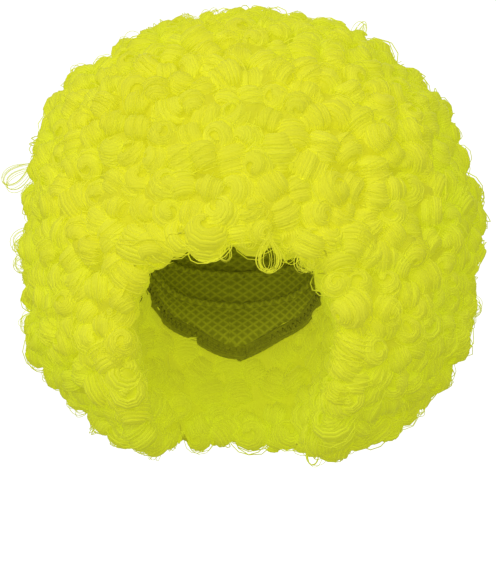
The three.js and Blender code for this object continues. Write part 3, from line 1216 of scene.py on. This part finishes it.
    def make_wefts(self) -> None:
        """Makes the rows of weft, each a tape that overlaps itself at the back, with its stitches."""
        turns = np.linspace(math.pi, -math.pi - self.weft_lap, self.steps)
        tapes, stitches = Batch(), Batch()
        across = np.array((0.5, 0.25, -0.25, -0.5, -0.5, 0.5)) * self.weft_width
        inside, edge = -self.weft_thickness, -self.weft_edge * self.weft_thickness
        section = np.stack([across, (edge, inside, inside, edge, self.weft_face, self.weft_face)], 1)
        for row in range(self.rows):
            path, out = self.ring("cap", (row + 0.9) / (self.rows + 0.6), turns, smooth=True)
            path = path + out * np.linspace(0, -self.lap, self.steps)[:, None]
            tapes.extend(swept_band(path, out, section, np.ones(self.steps), np.ones(len(section))))
            stitches.extend(self.zigzag(path, out, self.weft_thickness, self.weft_width * 0.6))
        self.sewn(tapes, stitches, "weft_rows", "cap", self.net, "cap_net")

    def zigzag(self, path: Array, out: Array, depth: float, width: float) -> Batch:
        """Makes a zigzag of thread along the inside of a tape.

        Args:
            path: The tape's path.
            out: The way out at each place.
            depth: How far inside the path the thread lies.
            width: The zigzag's width.

        Returns:
            A batch that holds the thread.
        """
        run = np.concatenate([[0], np.cumsum(np.linalg.norm(np.diff(path, axis=0), axis=1))])
        count = int(run[-1] / self.stitch)
        places = np.linspace(0, run[-1], count)
        dense = np.stack([np.interp(places, run, path[:, k]) for k in range(3)], 1)
        ways = length_one(np.stack([np.interp(places, run, out[:, k]) for k in range(3)], 1))
        across = length_one(np.cross(np.gradient(dense, axis=0), ways))
        side = np.where(np.arange(count) % 2, 0.5, -0.5) * width
        line = dense - ways * depth + across * side[:, None]
        return thin_strand(line, -ways, self.stitch_thickness, 1.0)

    def make_band(self) -> None:
        """Makes the elastic: a ribbed, slightly gathered strip with a zigzag of thread."""
        turns = np.linspace(math.pi, -math.pi - self.band_lap, 3 * self.steps)
        upper, _ = self.ring("elastic_band", 0.02, turns)
        lower, out = self.ring("elastic_band", 0.98, turns)
        width = float(np.linalg.norm(upper - lower, axis=1).mean())
        across = np.linspace(-0.5, 0.5, 2 * self.band_ribs + 1) * width
        ridge = np.where(np.arange(len(across)) % 2, self.rib_depth, 0.0)
        inside = np.stack([across, -ridge], 1)
        outside = np.stack([across[::-1], self.band_thickness + ridge], 1)
        section = np.concatenate([inside, outside])[::-1]
        gather = self.gather * np.sin(np.linspace(0, 2 * math.pi * self.gathers, len(turns)))
        lift = self.band_gap + gather + np.linspace(0, -self.lap, len(turns))
        path = 0.5 * (upper + lower) + out * lift[:, None]
        band = swept_band(path, out, section, np.ones(len(turns)), np.ones(len(section)))
        stitches = self.zigzag(path, out, 0.4 * MM, 0.5 * width)
        self.sewn(band, stitches, "elastic_edge", "elastic_band", self.rib, "elastic")

    def sewn(
        self, cloth: Batch, stitches: Batch, name: str, node: str, material: bpy.types.Material, slot: str
    ) -> None:
        """Makes a cloth and its stitches, as two pieces."""
        for batch, label, finish in ((cloth, name, material), (stitches, name + "_stitches", self.thread)):
            piece = batch.build(label)
            piece.data.materials.append(finish)
            self.finish(piece, node, slot)

    def finish(self, piece: bpy.types.Object, node: str, slot: str) -> None:
        """Ties a piece to the wig, in place of a node."""
        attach(piece, "root")
        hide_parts(node)
        LOG.info("%s: %d faces", piece.name, len(piece.data.polygons))


@dataclass
class Studio:
    """A pale sweep for a floor, soft lamps before and behind, and a level camera before the opening."""

    floor_height: float = -0.42
    camera_place: tuple[float, float, float] = (0.0099, -2.0, -0.105)
    lens: float = 162.0
    sky_light: float = 0.42
    floor_light: float = 0.0
    floor_seen: float = 0.95
    floor_grey: float = 0.4
    floor_width: float = 14.0
    floor_front: float = -9.0
    bend_start: float = 6.0
    bend_radius: float = 2.0
    bend_steps: int = 18
    wall_height: float = 8.0

    def build(self) -> None:
        """Makes the floor, the lamps, the world and the camera."""
        self.make_floor()
        self.add_lamp("key", (-0.6, -2.25, 0.4), 2.4, 29.0)
        self.add_lamp("back", (0.6, 2.6, 1.1), 1.8, 14.0)
        self.make_world()
        self.add_camera()

    def make_floor(self) -> None:
        """Makes a floor that curves up into a back wall."""
        bpy.ops.object.select_all(action="DESELECT")
        bpy.ops.mesh.primitive_plane_add(size=1.0)
        floor = bpy.context.object
        floor.name = "floor"
        start, radius = self.bend_start, self.bend_radius
        bends = [k / self.bend_steps * math.pi / 2 for k in range(1, self.bend_steps + 1)]
        profile = [(self.floor_front, 0.0), (start, 0.0)]
        profile += [(start + radius * math.sin(a), radius - radius * math.cos(a)) for a in bends]
        profile.append((start + radius, self.wall_height))
        across = (-self.floor_width, self.floor_width)
        points = [(x, y, z + self.floor_height) for y, z in profile for x in across]
        faces = [(2 * k, 2 * k + 1, 2 * k + 3, 2 * k + 2) for k in range(len(profile) - 1)]
        floor.data.clear_geometry()
        floor.data.from_pydata(points, [], faces)
        for face in floor.data.polygons:
            face.use_smooth = True
        material, strip, shader = new_material("pale_sweep")
        looks = {
            "Base Color": (self.floor_grey, self.floor_grey, self.floor_grey, 1.0),
            "Roughness": 0.9,
            "Specular IOR Level": 0.0,
            "Emission Strength": self.strength(strip, self.floor_light, self.floor_seen),
        }
        strip.feed(shader, looks)
        floor.data.materials.append(material)

    def strength(self, strip: Strip, light: float, seen: float) -> Socket:
        """Lets a surface look brighter than the light it gives to the hair.

        Args:
            strip: The nodes of its material or world.
            light: The strength of the light it gives.
            seen: The strength that the camera sees.

        Returns:
            The socket with its strength.
        """
        camera_ray = strip.add("LightPath").outputs["Is Camera Ray"]
        return strip.math("MULTIPLY_ADD", camera_ray, seen - light, light)

    def add_lamp(self, name: str, place: tuple[float, float, float], size: float, power: float) -> None:
        """Adds a soft square lamp that looks at the hair.

        Args:
            name: Its name.
            place: Where it stands.
            size: The length of its side.
            power: Its power in watts.
        """
        data = bpy.data.lights.new(name, "AREA")
        data.size = size
        data.energy = power
        lamp = bpy.data.objects.new(name, data)
        bpy.context.collection.objects.link(lamp)
        lamp.location = place
        lamp.rotation_euler = (Vector(HAIR_MIDDLE) - Vector(place)).to_track_quat("-Z", "Y").to_euler()

    def make_world(self) -> None:
        """Makes the even light all round, which is plain white where it is seen past the floor."""
        world = bpy.data.worlds.new("studio")
        world.use_nodes = True
        strip = Strip(world.node_tree)
        white = {"Color": (1.0, 1.0, 1.0, 1.0), "Strength": self.strength(strip, self.sky_light, 1.0)}
        strip.feed(world.node_tree.nodes["Background"], white)
        bpy.context.scene.world = world
        bpy.context.scene.view_settings.view_transform = "Standard"

    def add_camera(self) -> None:
        """Adds the camera, level and straight before the face opening."""
        data = bpy.data.cameras.new("camera")
        data.lens = self.lens
        camera = bpy.data.objects.new("camera", data)
        bpy.context.collection.objects.link(camera)
        camera.location = self.camera_place
        camera.rotation_euler = (math.pi / 2, 0.0, 0.0)
        bpy.context.scene.camera = camera


def main() -> None:
    """Builds the studio and every piece of the wig, in order."""
    logging.basicConfig(level=logging.INFO, format="%(name)s: %(message)s")
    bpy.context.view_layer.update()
    Studio().build()
    names = tuple(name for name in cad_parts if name.endswith("_curls"))
    lines = fibre_lines_group()
    hair = HairFinish().build(lines, swirls_group(), painted_shade_group())
    HairCoat(names, hair).build()
    thread = ClothFinish("thread", (0.66, 0.68, 0.05), Weave.TWIST).build(lines)
    net = ClothFinish("stretch_net", (0.58, 0.60, 0.03), Weave.NET).build(lines)
    rib = ClothFinish("ribbed_elastic", (0.52, 0.53, 0.03), Weave.RIB).build(lines)
    Foundation(net, rib, thread).build()


if __name__ == "__main__":
    main()
